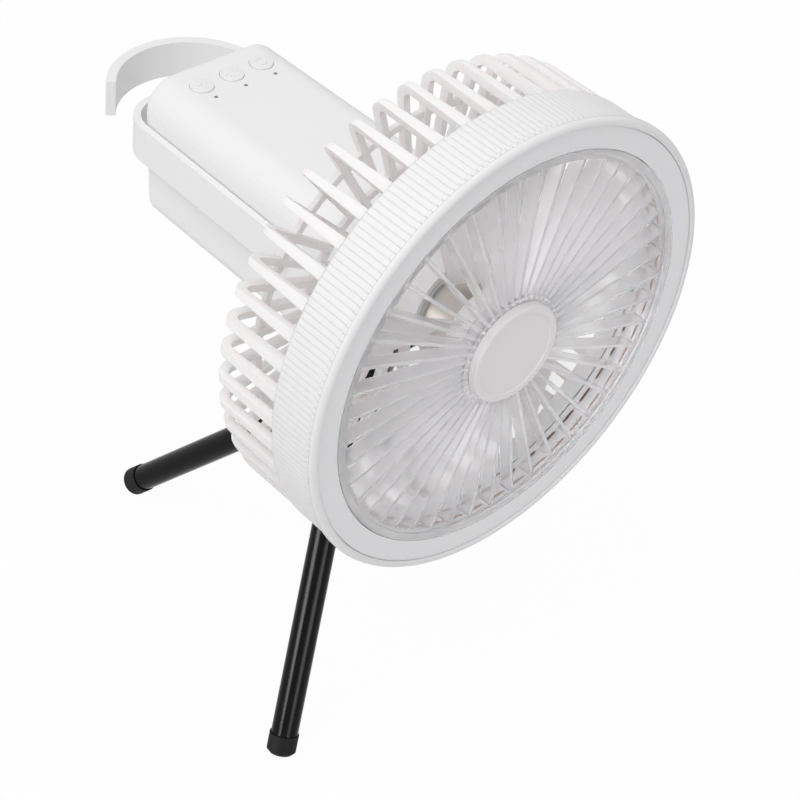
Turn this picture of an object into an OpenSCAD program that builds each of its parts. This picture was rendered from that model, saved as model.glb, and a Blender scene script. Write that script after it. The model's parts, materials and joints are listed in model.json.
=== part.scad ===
// Portable camping fan on a folding tripod.
// A ring-lit fan head with a ribbed clear grille and a finned rear cage, a battery housing behind it,
// a swinging stand bracket that carries a swivel hook, and a ball-head tripod below.
// Units are millimetres. +Z is up and the fan blows towards -Y. The origin lies on the ground,
// under the centre of the whole fan.

/* [Front ring] */
// Outer radius of the front rim
ring_r = 95; // [90:1:105]
// Depth of the ring, from its front edge to its rear edge
ring_depth = 23; // [22:0.5:28]
// How far the gripping band is set in from the front rim
band_step = 1; // [0.5:0.1:1.5]
// Depth of the front rim before the step down to the band
rim_depth = 3.5; // [3:0.5:6]
// Radius that rounds the front rim
rim_round = 2.4; // [1:0.2:2.6]
// Wall of the ring round its outside
ring_wall = 2.2; // [1.8:0.1:2.8]
// Thickness of the floor under the light
floor_t = 2; // [1.5:0.1:2.5]
// Depth of the light channel, from the front edge to its floor
channel_depth = 11; // [10:0.5:12]

/* [Ring light] */
// Radial width of the light window
light_w = 9; // [8:0.5:11]
// Thickness of the diffuser's front and of its two legs
diffuser_t = 1.8; // [1.2:0.1:2.2]
// How far the diffuser lies below the front edge
light_recess = 1; // [0.6:0.1:1.4]
// Thickness of the ring-shaped circuit board
board_t = 1.6; // [1:0.2:2]
// Number of light chips
chip_count = 36; // [12:1:48]
// Side of one light chip
chip_w = 2.8; // [2:0.2:3.2]
// Height of one light chip
chip_h = 0.8; // [0.5:0.1:1.2]

/* [Clear grille] */
// Number of radial ribs
rib_count = 45; // [30:1:54]
// Thickness of one rib
rib_t = 1.5; // [1:0.1:1.8]
// Depth of one rib along the fan's axis
rib_depth = 5.6; // [4:0.2:6]
// Radial width of the grille's outer frame
frame_w = 4.2; // [3.4:0.2:5]
// Wall of the grille's skirt
skirt_t = 1.8; // [1.4:0.1:2]
// Depth of the skirt that reaches into the ring
skirt_depth = 6; // [4:0.5:7]
// Radius of the round cap in the middle
cap_r = 20.5; // [18:0.5:22]
// How far the cap stands in front of the front edge
cap_proud = 1.4; // [0.8:0.1:2]
// Width of the cap's raised rim
cap_rim_w = 3; // [2:0.2:4]
// Depth of the cap's face below its raised rim
cap_dish = 0.6; // [0.3:0.1:0.8]
// Radius of the stem that holds the cap in the grille
cap_stem_r = 3; // [2:0.2:4]

/* [Rear cage] */
// Number of fins
fin_count = 48; // [36:12:60]
// Thickness of a fin where it leaves the ring
fin_t_front = 4.9; // [4:0.1:5.4]
// Thickness of a fin across the back
fin_t_rear = 2.4; // [2:0.1:3]
// Outer radius of the fins
cage_r = 93.5; // [88:0.5:93.6]
// Distance from the front edge to the back of the cage
cage_depth = 58.5; // [54:0.5:66]
// Radial depth of a fin along its side
fin_side_w = 3.4; // [3:0.2:5]
// Depth of a fin across the back
fin_back_w = 3.8; // [3.4:0.2:5]
// Outer corner radius of a fin
fin_corner_r = 7.5; // [6:0.5:10]
// Radius of the outer back ring
back_ring_r = 73.5; // [66:0.5:80]
// Radius of the inner back ring, where every second fin ends
inner_ring_r = 53; // [44:1:60]
// Width of the two back rings
back_ring_w = 2.8; // [2:0.2:3.4]
// Radius of the solid middle plate
cage_plate_r = 30; // [28:1:34]
// Wall of the collar round the motor
collar_t = 2.6; // [2:0.1:3]
// Distance from the front edge to the front of the motor collar
collar_front = 33; // [31:0.5:38]
// Thickness of the flange that screws to the ring
flange_t = 2.1; // [1.8:0.1:2.6]
// Length of the screw bosses on the ring's floor
boss_len = 6; // [5:0.5:7]

/* [Fan rotor] */
// Number of blades
blade_count = 5; // [3:1:7]
// Radius of the blade tips
blade_tip_r = 77; // [68:0.5:78.5]
// Outer radius of the rotor's hub
hub_r = 19.5; // [18:0.5:20]
// Wall of the rotor's hub
hub_wall = 2.2; // [1.6:0.1:2.4]
// Depth of the rotor's hub
hub_depth = 8.4; // [6:0.2:10]
// Distance from the front edge to the front of the hub
hub_front = 8.6; // [8.2:0.1:9]
// Angle of a blade to the plane of rotation at its root
root_pitch = 46; // [35:1:50]
// Angle of a blade to the plane of rotation at its tip
tip_pitch = 25; // [18:1:30]
// Length of a blade's section at its root
root_chord = 21; // [16:1:22]
// Length of a blade's section at its tip
tip_chord = 48; // [36:1:50]
// Thickness of a blade
blade_t = 1.6; // [1.2:0.1:2]

/* [Motor] */
// Radius of the motor's can
motor_r = 15.5; // [14:0.1:15.8]
// Length of the motor's can
motor_len = 30; // [28:0.5:30.5]
// Thickness of the can's steel
can_wall = 1; // [0.8:0.1:1.2]
// Radius of the shaft
shaft_r = 1.15; // [1:0.05:1.5]
// Length of the plastic end cap behind the can
end_cap_len = 3.6; // [3:0.2:4]
// Radius of the winding core
armature_r = 10; // [8:0.5:10.5]

/* [Battery housing] */
// Half width of the housing at its front end
body_hw_front = 34; // [32:0.2:36]
// Half width of the housing at its rear end
body_hw_rear = 32.2; // [31:0.2:34]
// Height of the top face above the fan's axis
body_top = 29; // [28:0.5:32]
// Depth of the bottom face below the fan's axis
body_bottom = 30; // [29:0.5:33]
// Distance from the front edge to the back of the housing, at its top
body_rear = 180; // [178:0.5:184]
// How far the lower edge of the housing's rear face lies in front of its upper edge
body_lean = 4.5; // [3:0.5:5]
// Radius that rounds the edges of the rear face
body_edge = 3; // [2.6:0.1:3.6]
// Radius that rounds the upper edges
body_round_top = 13; // [10:0.5:14]
// Radius that rounds the lower edges
body_round_bottom = 8; // [6:0.5:10]
// Wall of the housing
body_wall = 2.4; // [2:0.1:2.8]
// Height of the seam between the two shells, above the axis
seam_z = -2.2; // [-2.6:0.1:-1.8]

/* [Buttons] */
// Distance from the row of buttons to the back of the housing
button_inset = 14.5; // [13.5:0.5:17]
// Spacing of the buttons
button_pitch = 14.8; // [13.5:0.1:15]
// Radius of one button
button_r = 4.8; // [4.3:0.1:5]
// Travel of a button
button_travel = 0.5; // [0.3:0.05:0.6]
// Height of a button above the top face
button_proud = 0.8; // [0.5:0.1:1]
// Distance from the buttons' row to the indicator lights
indicator_gap = 8.9; // [8:0.1:10]
// Radius of one indicator light
indicator_r = 0.8; // [0.6:0.05:1]

/* [Power] */
// Radius of one battery cell
cell_r = 9.2; // [9:0.05:9.3]
// Length of one battery cell
cell_len = 65; // [60:1:66]
// Distance from the rear ends of the cells to the back of the housing
cell_inset = 17; // [16.5:0.5:18.5]
// Width of the charging socket
socket_w = 9; // [8.4:0.1:9.4]
// Height of the charging socket
socket_h = 3.3; // [3:0.1:3.6]
// Distance of the charging socket below the axis, at its middle
socket_drop = 14.1; // [13:0.1:15]

/* [Stand bracket] */
// Distance from the front edge to the bracket's pivots
pivot_y = 95; // [93:0.5:97]
// Height of the pivots above the fan's axis
pivot_z = 4; // [3.8:0.1:5]
// Width of the bracket's strap, up and down
strap_w = 15.8; // [14:0.2:16]
// Thickness of the bracket's strap
strap_t = 3; // [2.4:0.1:3.4]
// Gap between the bracket's arms and the housing
arm_gap = 0.6; // [0.5:0.05:1]
// Gap between the back of the housing and the bracket
bracket_gap = 8.5; // [7.5:0.5:10]
// Outer radius of the bracket's two corners
bracket_corner = 16; // [12:0.5:18]
// Radius of the pivot pins
pivot_pin_r = 3; // [2.5:0.1:3.4]
// Running clearance of a pin in its hole
pin_clear = 0.06; // [0.03:0.01:0.08]

/* [Hook] */
// Outer radius of the hook's bow
hook_r = 34.8; // [30:0.2:36]
// Thickness of the hook's strap
hook_t = 4; // [3:0.2:4.6]
// How far the centre of the hook's bow lies in front of the bracket's back
hook_sink = 2.8; // [2:0.1:3.4]
// Angle of the hook's tip, from the right-hand side
hook_tip = 144; // [120:1:155]
// Radius of the rivet that the hook turns on
hook_rivet_r = 3; // [2.4:0.1:3.4]
// Radius of the washer under the hook
hook_washer_r = 7; // [6.5:0.1:7.5]
// Thickness of the washer under the hook
hook_washer_t = 0.5; // [0.4:0.1:0.8]

/* [Ball head] */
// Distance from the front edge to the tripod's axis
tripod_y = 76.2; // [75:0.1:78]
// Angle by which the head leans back on the ball
rest_tilt = 10.7; // [8:0.1:12]
// Radius of the ball
ball_r = 8.5; // [8:0.1:9]
// Radius of the neck above the ball
neck_r = 3.8; // [3:0.1:3.9]
// Height of the ball's centre below the housing
ball_drop = 20; // [19:0.5:22]
// Radius of the platform under the housing
platform_r = 14; // [12:0.5:15]
// Thickness of the platform
platform_t = 2.5; // [2:0.1:3]
// Thickness of the rubber pad on the platform
pad_t = 1.5; // [1:0.1:2]
// Radius of the threaded stud
stud_r = 3.1; // [2.9:0.05:3.2]
// Length of the stud above the pad
stud_len = 8; // [6:0.5:8.5]
// Outer radius of the ball's socket
socket_r = 13; // [12.5:0.1:13.5]
// Radius of the lock knob
knob_r = 7; // [5:0.5:7.5]
// Thickness of the lock knob
knob_len = 9; // [6:0.5:11]

/* [Tripod] */
// Angle of the open legs from upright
leg_splay = 33.1; // [30:0.1:36]
// Direction of the first leg, from +X towards +Y
leg_turn = -12.2; // [-16:0.1:-8]
// Distance from the legs' common point to a foot's end
leg_len = 159.4; // [145:0.1:170]
// Radius of one leg tube
leg_r = 5.7; // [5:0.1:5.9]
// Wall of one leg tube
leg_wall = 1; // [0.8:0.1:1.2]
// Distance of a leg's hinge from the tripod's axis
hinge_r = 11.4; // [11.3:0.1:12]
// Distance of the legs' common point below the ball's centre
leg_apex_drop = 22.9; // [22:0.1:25]
// Radius of the hub
tripod_hub_r = 17; // [16.8:0.1:17.6]
// Thickness of a leg's knuckle
knuckle_t = 10; // [8:0.2:10.4]
// Radius of a hinge pin
hinge_pin_r = 1.5; // [1.3:0.1:1.7]
// Radius of a rubber boot
boot_r = 6.2; // [6.1:0.05:6.6]
// Length of a rubber boot
boot_len = 9; // [8:0.5:14]
// Bevel round the end of a boot
boot_bevel = 1.5; // [1:0.1:2]
// How far a boot is worn flat where it stands on the ground
sole_cut = 0.8; // [0.6:0.1:1]

/* [Hidden] */
$fn = 64;

// Small overlap that lets two pieces of one solid merge
weld = 0.2;
// Clearance of a piece that drops into its seat
seat_gap = 0.2;
// Turn of the fins and ribs about the fan's axis
fin_turn = 1.9;

// Ring light and grille, all worked inwards from the rim
band_r = ring_r - band_step;
light_out_r = band_r - ring_wall;
light_in_r = light_out_r - light_w - seat_gap;
channel_wall = 2;
seat_in_r = light_in_r - channel_wall;
seat_y = light_recess + 2.5;
diffuser_out_r = light_out_r - seat_gap;
diffuser_in_r = light_in_r + seat_gap;
led_out_r = diffuser_out_r - diffuser_t - seat_gap;
led_in_r = diffuser_in_r + diffuser_t + seat_gap;
led_mid_r = (led_out_r + led_in_r) / 2;
grille_out_r = light_in_r - seat_gap;
grille_in_r = grille_out_r - frame_w;
skirt_out_r = seat_in_r - seat_gap;
skirt_in_r = skirt_out_r - skirt_t;
rib_front = light_recess + 1;
grille_hub_r = cap_r + 2.7;
hub_drop = 0.4;
plate_front = 1.8;
plate_t = 2.2;

// Cage flange and its screws
floor_rear = channel_depth + floor_t;
flange_front = floor_rear + boss_len;
flange_rear = flange_front + flange_t;
flange_out_r = light_out_r - seat_gap;
boss_ring_r = (seat_in_r + light_out_r) / 2 + 0.8;
boss_r = 3.5;
cage_screw_r = 1.3;
cage_screw_count = 6;
fin_in_r = cage_r - fin_side_w;
fin_root_r = flange_out_r - 0.4;
fin_foot_w = 4;
fin_foot_r = min(fin_in_r, fin_root_r - fin_foot_w);
fin_foot_rear = ring_depth + 2;
fin_rear = cage_depth - 0.3;
fin_back_front = fin_rear - fin_back_w;
fin_inner_round = fin_corner_r - fin_side_w;
mid_plate_front = fin_back_front - 1.6;
fin_pitch = 360 / fin_count;

// Motor and rotor, worked back from the hub
motor_front = hub_front + 5.4;
motor_rear = motor_front + motor_len;
motor_boss_r = 5;
motor_boss_len = 1.2;
sleeve_in_r = motor_r;
sleeve_out_r = cage_collar_in();
shaft_front = hub_front - 2;
motor_seat = motor_rear + end_cap_len;
shaft_rear = motor_seat + 1;
bush_r = 3;
bush_len = 4;
magnet_gap = 1.2;
blade_root_r = hub_r - hub_wall / 2;
motor_screw_ring = 8;
motor_screw_r = 1.25;
motor_screw_head_r = 2.2;
wire_hole_r = 3.5;
wire_hole_z = 11.5;

// Battery housing
body_front = cage_depth;
body_in_top = body_top - body_wall;
body_in_bottom = -body_bottom + body_wall;
body_in_front = body_front + body_wall;
rear_slope = body_lean / (body_top + body_bottom);
screw_post_x = 26;
screw_post_front_y = body_front + 10;
screw_post_rear_y = body_rear - 12;
screw_post_r = 3.2;
shell_screw_r = 1.5;
shell_screw_head_r = 2.8;
neck_x = 20;
neck_z_top = 12;
neck_z_bottom = -14;
neck_screw_r = 1.5;
neck_head_r = 2.6;
button_y = body_rear - button_inset;
button_gap = 0.15;
button_flange_w = 1;
button_flange_t = 1;
button_flange_top = body_in_top - 0.3;
board_top = body_in_top - 5.6;
board_hw = 22.4;
board_rear = button_y + 5;
board_front = board_rear - 71;
standoff_x = 19.2;
standoff_front_y = board_front + 8;
standoff_rear_y = button_y - 16;
switch_w = 6;
switch_h = 3.4;
plunger_r = 1.75;
button_foot_z = button_flange_top - button_flange_t;
plunger_top = button_foot_z - button_travel - 0.05;
cell_front = body_rear - cell_inset - cell_len;
cell_x = cell_r + 0.4;
cell_z_low = body_in_bottom + cell_r + 0.8;
cell_z_high = cell_z_low + 2 * cell_r + 0.4;
tray_wall = 1.6;
insert_r = 5;
insert_len = 9;
insert_boss_r = 8;
charge_board_t = 1.6;
charge_board_top = -socket_drop - socket_h / 2;
socket_rear = body_back(charge_board_top);

// Bracket, pins and hook
arm_in_front = body_half_width(pivot_y - strap_w / 2) + arm_gap;
arm_in_rear = body_half_width(body_rear) + arm_gap;
bracket_in_rear = body_rear + bracket_gap;
bracket_rear = bracket_in_rear + strap_t;
pin_in_x = body_half_width(pivot_y) - 6.5;
pin_out_x = body_half_width(pivot_y) + arm_gap + strap_t - 1;
pivot_boss_r = pivot_z - seam_z - 0.6;
washer_seat_x = body_half_width(pivot_y) - 1;
washer_r = pivot_z - seam_z - 0.5;
hook_centre_y = bracket_rear - hook_sink;
hook_front = bracket_rear + hook_washer_t;
hook_in_r = hook_r - hook_t;
hook_root_angle = asin((hook_front + hook_t / 2 - hook_centre_y) / (hook_r - hook_t / 2));
hook_root_w = 10;
hook_head_r = 5.5;
hook_head_t = 1.6;
hook_inner_head_t = 1;

// Ball head, measured down from the fan's axis
platform_top = -body_bottom - pad_t;
platform_bottom = platform_top - platform_t;
ball_z = -body_bottom - ball_drop;
ball_clear = 0.06;
socket_top = ball_z + 4.5;
socket_bottom = ball_z - 15.5;
pan_washer_t = 1;
hub_top = socket_bottom - pan_washer_t;
pan_bolt_r = 2;
pan_head_r = 4;
lock_screw_r = 2.5;
lock_z = ball_z - 1;
knob_gap = 2;

// Tripod
apex_z = ball_z - leg_apex_drop;
hinge_s = hinge_r / sin(leg_splay);
hinge_z = apex_z - hinge_s * cos(leg_splay);
leg_reach = leg_len - hinge_s;
hub_bottom = hinge_z - 4.1;
hub_shoulder = hinge_z + 11.5;
slot_gap = 0.2;
knuckle_r = 5;
knuckle_len = 14;
slot_r = knuckle_r + 0.3;
spigot_len = 14;
tube_end = leg_reach - 3;
boot_start = leg_reach - boot_len;
hinge_pin_len = 20;
pan_recess = 10;

// Height of the ball's centre above the ground, and the shift that centres the whole fan over the
// origin, between the lower edge of the rim in front and the back of the hook
boot_drop = max(leg_len * cos(leg_splay) + (boot_r - boot_bevel) * sin(leg_splay),
                (leg_len - boot_bevel) * cos(leg_splay) + boot_r * sin(leg_splay));
ball_h = leg_apex_drop + boot_drop - sole_cut;
foot_lean = sin(leg_splay) * cos(leg_turn);
foot_reach_x = (leg_len - boot_bevel) * foot_lean + boot_r * sqrt(1 - foot_lean * foot_lean);
axis_x = (ring_r - max(foot_reach_x, ring_r)) / 2;
front_reach = (tripod_y - rim_round) * cos(rest_tilt) + (ring_r - rim_round + ball_z) * sin(rest_tilt)
              + rim_round;
rear_reach = (hook_centre_y + hook_r - tripod_y) * cos(rest_tilt)
             + (pivot_z + strap_w / 2 - ball_z) * sin(rest_tilt);
ball_y = (front_reach - rear_reach) / 2;

white = [0.93, 0.93, 0.93];
shade = [0.85, 0.85, 0.86];
clear = [0.8, 0.82, 0.84, 0.5];
frost = [0.88, 0.9, 0.92, 0.7];
steel = [0.62, 0.63, 0.65];
dark = [0.12, 0.12, 0.13];
copper = [0.72, 0.42, 0.25];
green = [0.1, 0.35, 0.2];
brass = [0.8, 0.65, 0.3];

// ---------- helpers ----------

// Places a shape drawn from the middle of the front edge, with Y running back along the fan's axis.
// The head leans back about the ball.
module from_front() {
    translate([axis_x, ball_y, ball_h]) rotate([-rest_tilt, 0, 0])
        translate([0, -tripod_y, -ball_z]) children();
}

// Turns a shape of revolution so that its own Z runs back along the fan's axis.
module along_axis() {
    rotate([-90, 0, 0]) children();
}

// Turns a shape about the fan's axis, from +X up towards +Z.
module turned(angle) {
    rotate([0, -angle, 0]) children();
}

// Points along an arc, for an outline.
function arc(centre, r, from, to, steps = 6) =
    [for (i = [0 : steps]) centre + r * [cos(from + (to - from) * i / steps),
                                         sin(from + (to - from) * i / steps)]];

// A revolved ring between two radii and two depths.
module band(r_in, r_out, front, rear) {
    along_axis() rotate_extrude() translate([r_in, front]) square([r_out - r_in, rear - front]);
}

// A rod along the fan's axis at a place beside it.
module rod_y(x, z, r, front, rear) {
    translate([x, front, z]) along_axis() cylinder(r = r, h = rear - front);
}

// A rod across the fan, from one side to the other.
module rod_x(y, z, r, from, to) {
    translate([from, y, z]) rotate([0, 90, 0]) cylinder(r = r, h = to - from);
}

// A box between two corners.
module block(low, high) {
    translate(low) cube(high - low);
}

// Cross recess for a screwdriver, cut into the rear end of a screw's head.
module cross_y(rear, size) {
    for (angle = [0, 90]) translate([0, rear, 0]) rotate([0, angle, 0])
        cube([size, 2, size / 4], center = true);
}

// Half width of the housing at a distance from the front edge.
function body_half_width(y) =
    body_hw_front + (body_hw_rear - body_hw_front) * (y - cage_depth) / (body_rear - cage_depth);

// Distance from the front edge to the housing's leaning rear face, at a height.
function body_back(z) = body_rear - rear_slope * (body_top - z);

// Inner radius of the motor's collar, which leaves room for the rubber sleeve.
function cage_collar_in() = motor_r + 1.4;

// ---------- front ring, light and grille ----------

function ring_outline() = concat(
    [[light_out_r, channel_depth], [light_out_r, 0.5], [light_out_r + 0.5, 0]],
    arc([ring_r - rim_round, rim_round], rim_round, -90, 0),
    [[ring_r, rim_depth], [band_r, rim_depth + 0.5], [band_r, ring_depth],
     [light_out_r, ring_depth], [light_out_r, floor_rear], [seat_in_r, floor_rear],
     [seat_in_r, seat_y], [light_in_r, seat_y], [light_in_r, channel_depth]]);

// Rim, gripping band and light channel in one moulding, with the bosses that take the cage's screws.
module front_ring() color(white) from_front() {
    difference() {
        union() {
            along_axis() rotate_extrude($fn = 180) polygon(ring_outline());
            at_cage_screws() rod_y(0, 0, boss_r, floor_rear - weld, flange_front);
        }
        at_cage_screws() rod_y(0, 0, cage_screw_r, floor_rear + 0.5, flange_front + 1);
    }
}

module at_cage_screws() {
    for (i = [0 : cage_screw_count - 1])
        turned(fin_turn + fin_pitch / 2 + i * 360 / cage_screw_count) translate([boss_ring_r, 0, 0])
            children();
}

// Frosted channel whose two legs stand on the floor either side of the circuit board.
module led_diffuser() color(shade) from_front() {
    front = light_recess;
    along_axis() rotate_extrude($fn = 180) polygon([
        [diffuser_in_r, front], [diffuser_out_r, front], [diffuser_out_r, channel_depth],
        [diffuser_out_r - diffuser_t, channel_depth], [diffuser_out_r - diffuser_t, front + diffuser_t],
        [diffuser_in_r + diffuser_t, front + diffuser_t], [diffuser_in_r + diffuser_t, channel_depth],
        [diffuser_in_r, channel_depth]]);
}

module led_board() color(green) from_front() {
    band(led_in_r, led_out_r, channel_depth - board_t, channel_depth);
}

module led_chips() color("gold") from_front() {
    front = channel_depth - board_t - chip_h;
    for (i = [0 : chip_count - 1])
        turned(i * 360 / chip_count) translate([led_mid_r - chip_w / 2, front, -chip_w / 2])
            cube([chip_w, chip_h, chip_w]);
}

// Clear moulding: stepped outer frame and skirt, straight radial ribs, and the hub behind the cap.
module front_grille() color(clear) from_front() {
    step_w = frame_w / 3;
    difference() {
        union() {
            along_axis() rotate_extrude($fn = 180) polygon([
                [grille_in_r, light_recess + 0.9], [grille_in_r + step_w, light_recess + 0.9],
                [grille_in_r + step_w, light_recess], [grille_out_r, light_recess],
                [grille_out_r, seat_y], [skirt_out_r, seat_y], [skirt_out_r, seat_y + skirt_depth],
                [skirt_in_r, seat_y + skirt_depth], [skirt_in_r, seat_y], [grille_in_r, seat_y]]);
            for (i = [0 : rib_count - 1])
                turned(i * 360 / rib_count)
                    block([cap_r + 1, rib_front, -rib_t / 2],
                          [skirt_in_r + skirt_t / 2, rib_front + rib_depth, rib_t / 2]);
            band(cap_r + 0.3, grille_hub_r, plate_front, rib_front + rib_depth - hub_drop);
            rod_y(0, 0, cap_r + 0.5, plate_front, plate_front + plate_t);
        }
        rod_y(0, 0, cap_stem_r, 0, plate_front + plate_t + 1);
    }
}

// Round cap with a raised rim and a stem that plugs into the grille's hub.
module grille_cap() color(shade) from_front() {
    edge = 1;
    along_axis() rotate_extrude() polygon(concat(
        [[0, -cap_proud + cap_dish], [cap_r - cap_rim_w - 0.4, -cap_proud + cap_dish],
         [cap_r - cap_rim_w, -cap_proud]],
        arc([cap_r - edge, -cap_proud + edge], edge, -90, 0),
        [[cap_r, plate_front], [cap_stem_r, plate_front], [cap_stem_r, plate_front + plate_t],
         [0, plate_front + plate_t]]));
}

// ---------- rear cage ----------

// Side view of one fin: its foot on the flange, then down the side, round the corner and across the
// back to the given radius.
function fin_outline(inner_r) = concat(
    [[fin_foot_r, flange_rear - weld], [fin_root_r, flange_rear - weld],
     [fin_root_r, ring_depth + 0.4], [cage_r, ring_depth + 0.4]],
    arc([cage_r - fin_corner_r, fin_rear - fin_corner_r], fin_corner_r, 0, 90),
    [[inner_r, fin_rear], [inner_r, fin_back_front]],
    arc([fin_in_r - fin_inner_round, fin_back_front - fin_inner_round], fin_inner_round, 90, 0, 4),
    [[fin_in_r, fin_foot_rear + 2], [fin_foot_r, fin_foot_rear]]);

// A fin, which gets thinner from the ring to the back.
module fin(inner_r) {
    front = flange_rear - 1;
    rear = cage_depth + 1;
    intersection() {
        translate([0, 0, -fin_t_front / 2 - 1]) linear_extrude(fin_t_front + 2)
            polygon(fin_outline(inner_r));
        translate([inner_r - 1, 0, 0]) rotate([90, 0, 90]) linear_extrude(cage_r + 2 - inner_r)
            polygon([[front, -fin_t_front / 2], [rear, -fin_t_rear / 2],
                     [rear, fin_t_rear / 2], [front, fin_t_front / 2]]);
    }
}

// Fins, back rings, screw flange, middle plate and motor collar in one moulding.
module rear_cage() color(white) from_front() {
    difference() {
        union() {
            for (i = [0 : fin_count - 1])
                turned(fin_turn + i * fin_pitch)
                    fin(i % 2 == 0 ? cage_plate_r - 2 : inner_ring_r);
            band(back_ring_r - back_ring_w / 2, back_ring_r + back_ring_w / 2,
                 fin_back_front + 1, cage_depth - 1);
            band(inner_ring_r - back_ring_w / 2, inner_ring_r + back_ring_w / 2,
                 fin_back_front + 1, cage_depth - 1);
            along_axis() rotate_extrude($fn = 180) polygon([
                [seat_in_r, floor_rear + 0.6], [seat_in_r + 1.8, floor_rear + 0.6],
                [seat_in_r + 1.8, flange_front], [flange_out_r, flange_front],
                [flange_out_r, flange_rear], [seat_in_r, flange_rear]]);
            rod_y(0, 0, cage_plate_r, mid_plate_front, cage_depth);
            rod_y(0, 0, cage_collar_in() + collar_t, collar_front, mid_plate_front + weld);
        }
        rod_y(0, 0, cage_collar_in(), collar_front - 1, motor_seat);
        rod_y(0, 0, bush_r, motor_seat - 1, motor_seat + 2);
        at_cage_screws() rod_y(0, 0, cage_screw_r + 0.3, flange_front - 1, flange_rear + 1);
        for (side = [-1, 1]) {
            rod_y(side * motor_screw_ring, 0, motor_screw_r + 0.2, motor_seat - 1, cage_depth + 1);
            rod_y(side * motor_screw_ring, 0, motor_screw_head_r + 0.2, cage_depth - 2.2, cage_depth + 1);
        }
        at_neck_screws() rod_y(0, 0, neck_screw_r, mid_plate_front + 1, cage_depth + 1);
        rod_y(0, wire_hole_z, wire_hole_r, motor_seat - 1, cage_depth + 1);
    }
}

module cage_screws() color(steel) from_front() at_cage_screws() difference() {
    head_r = 2.3;
    head_t = 1.6;
    union() {
        rod_y(0, 0, cage_screw_r, floor_rear + 2, flange_rear + weld);
        rod_y(0, 0, head_r, flange_rear, flange_rear + head_t);
    }
    cross_y(flange_rear + head_t, 2.6);
}

// ---------- rotor and motor ----------

blade_rows = 7;
blade_steps = 8;

// Place along the blade, from 0 at its root to 1 at its tip
function blade_share(row) = row / blade_rows;
function blade_radius(row) = blade_root_r + (blade_tip_r - blade_root_r) * blade_share(row);
function blade_pitch(row) = root_pitch + (tip_pitch - root_pitch) * pow(blade_share(row), 0.7);
// The section grows towards the tip and is drawn in again over the last stretch, which rounds the tip
function blade_chord(row) =
    (root_chord + (tip_chord - root_chord) * pow(blade_share(row), 0.8))
    * (blade_share(row) > 0.9 ? 0.86 : 1);
blade_mid_y = hub_front + 11.8;

// One point of a blade's skin. Share runs from -0.5 to 0.5 along the section, side is -1 or 1.
function blade_point(row, share, side) =
    let (r = blade_radius(row),
         chord = blade_chord(row),
         pitch = blade_pitch(row),
         bow = chord * 0.07 * (1 - 4 * share * share),
         half_t = side * blade_t / 2,
         along = chord * share * cos(pitch) - (bow + half_t) * sin(pitch),
         depth = chord * share * sin(pitch) + (bow + half_t) * cos(pitch),
         angle = along / r * 180 / PI)
    [r * cos(angle), blade_mid_y + depth, r * sin(angle)];

blade_ring = 2 * (blade_steps + 1);
blade_points = [for (row = [0 : blade_rows]) each concat(
    [for (i = [0 : blade_steps]) blade_point(row, i / blade_steps - 0.5, 1)],
    [for (i = [blade_steps : -1 : 0]) blade_point(row, i / blade_steps - 0.5, -1)])];
// The two end faces are curved, so each is a strip of triangles between the two sides
tip_first = blade_rows * blade_ring;
blade_faces = concat(
    [for (i = [0 : blade_steps - 1])
        let (a = i,
             b = blade_ring - 1 - i)
        each [[a, a + 1, b], [a + 1, b - 1, b], [tip_first + a, tip_first + b, tip_first + a + 1],
              [tip_first + a + 1, tip_first + b, tip_first + b - 1]]],
    [for (row = [0 : blade_rows - 1], i = [0 : blade_ring - 1])
        let (a = row * blade_ring + i,
             b = row * blade_ring + (i + 1) % blade_ring)
        each [[a, a + blade_ring, b], [b, a + blade_ring, b + blade_ring]]]);

// Frosted rotor: a shallow hub cup, a boss on the shaft and the twisted blades.
module fan_rotor() color(frost) from_front() {
    difference() {
        union() {
            along_axis() rotate_extrude() polygon(concat(
                [[0, hub_front]],
                arc([hub_r - 2, hub_front + 2], 2, -90, 0, 4),
                [[hub_r, hub_front + hub_depth], [hub_r - hub_wall, hub_front + hub_depth],
                 [hub_r - hub_wall, hub_front + 2.2], [4.5, hub_front + 2.2],
                 [4.5, hub_front + 3.8], [0, hub_front + 3.8]]));
            for (i = [0 : blade_count - 1])
                turned(i * 360 / blade_count + 20) polyhedron(blade_points, blade_faces);
        }
        rod_y(0, 0, shaft_r, hub_front - 1, hub_front + 5);
    }
}

module rotor_nut() color(steel) from_front() difference() {
    translate([0, hub_front - 1.8, 0]) along_axis() cylinder(r = 3.2, h = 1.8, $fn = 6);
    rod_y(0, 0, shaft_r, hub_front - 3, hub_front + 1);
}

module motor_shaft() color(steel) from_front() rod_y(0, 0, shaft_r, shaft_front, shaft_rear);

// Winding core with five poles, its windings and its commutator, fixed on the shaft.
module motor_armature() color(copper) from_front() {
    front = motor_front + 6;
    rear = motor_rear - 7;
    difference() {
        union() {
            rod_y(0, 0, armature_r, front, rear);
            rod_y(0, 0, armature_r - 1.6, front - 1.5, rear + 1.5);
            rod_y(0, 0, 3.4, rear + 1, rear + 5.5);
        }
        for (i = [0 : 4])
            turned(i * 72) block([armature_r - 3, front - 2, -0.8], [armature_r + 1, rear + 2, 0.8]);
        rod_y(0, 0, shaft_r, front - 3, rear + 7);
    }
}

module motor_can() color(dark) from_front() difference() {
    union() {
        rod_y(0, 0, motor_r, motor_front, motor_rear);
        rod_y(0, 0, motor_boss_r, motor_front - motor_boss_len, motor_front + weld);
    }
    rod_y(0, 0, motor_r - can_wall, motor_front + can_wall, motor_rear + 1);
    rod_y(0, 0, bush_r, motor_front - motor_boss_len - 1, motor_front + can_wall + 1);
}

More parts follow.
